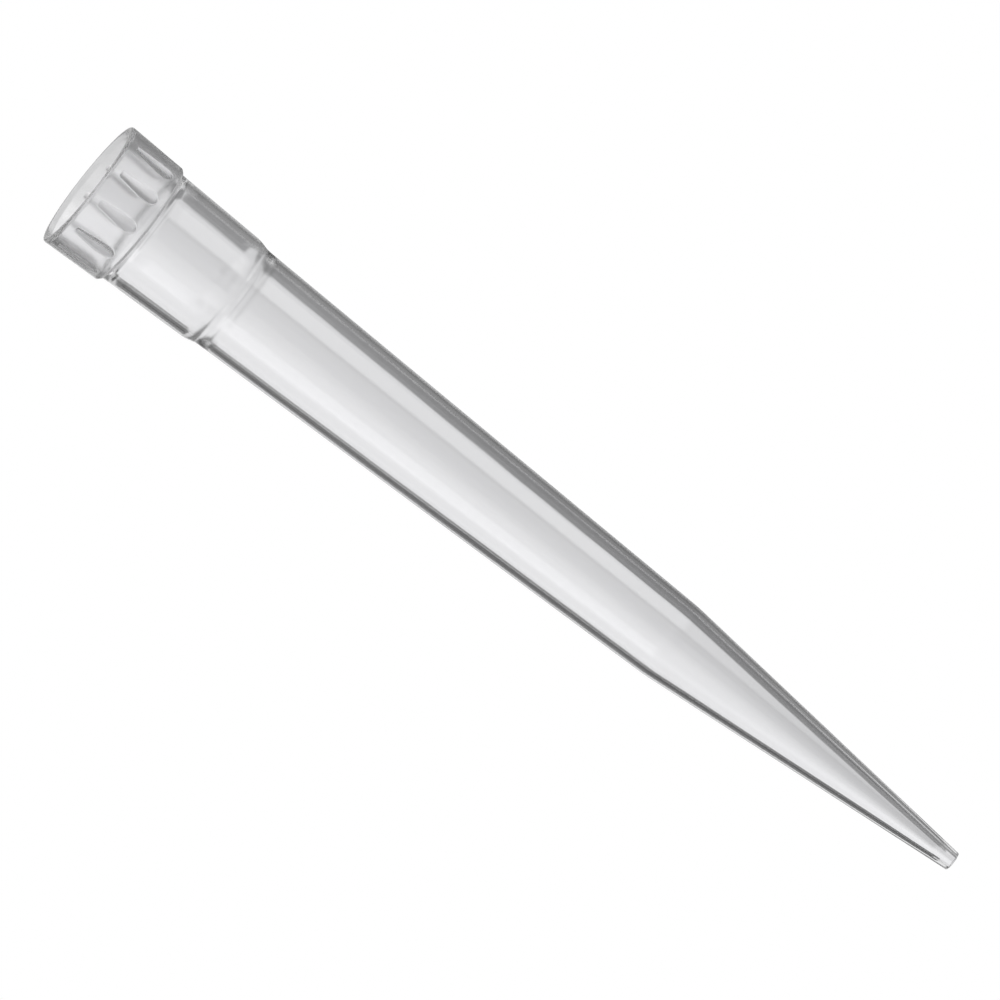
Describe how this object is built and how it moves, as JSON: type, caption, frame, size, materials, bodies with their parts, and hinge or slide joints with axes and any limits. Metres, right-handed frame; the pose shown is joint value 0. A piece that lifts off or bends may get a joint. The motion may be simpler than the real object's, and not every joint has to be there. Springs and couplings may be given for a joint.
{
  "type": "pipette tip",
  "caption": "Clear moulded pipette tip with a ribbed collar at its mouth, a stepped barrel, and a long tapered body that narrows at a knee to a fine nose.",
  "frame": {"origin": "centre of the mouth's rim plane, on the tip's axis", "axes": "+Z along the tip's axis, from the mouth to the end of the nose"},
  "size_m": [0.009, 0.009, 0.07],
  "materials": {
    "clear_polypropylene": "clear natural polypropylene, smooth and glossy from a polished mould"
  },
  "bodies": {
    "root": {"tip_body": "clear_polypropylene"}
  },
  "joints": []
}
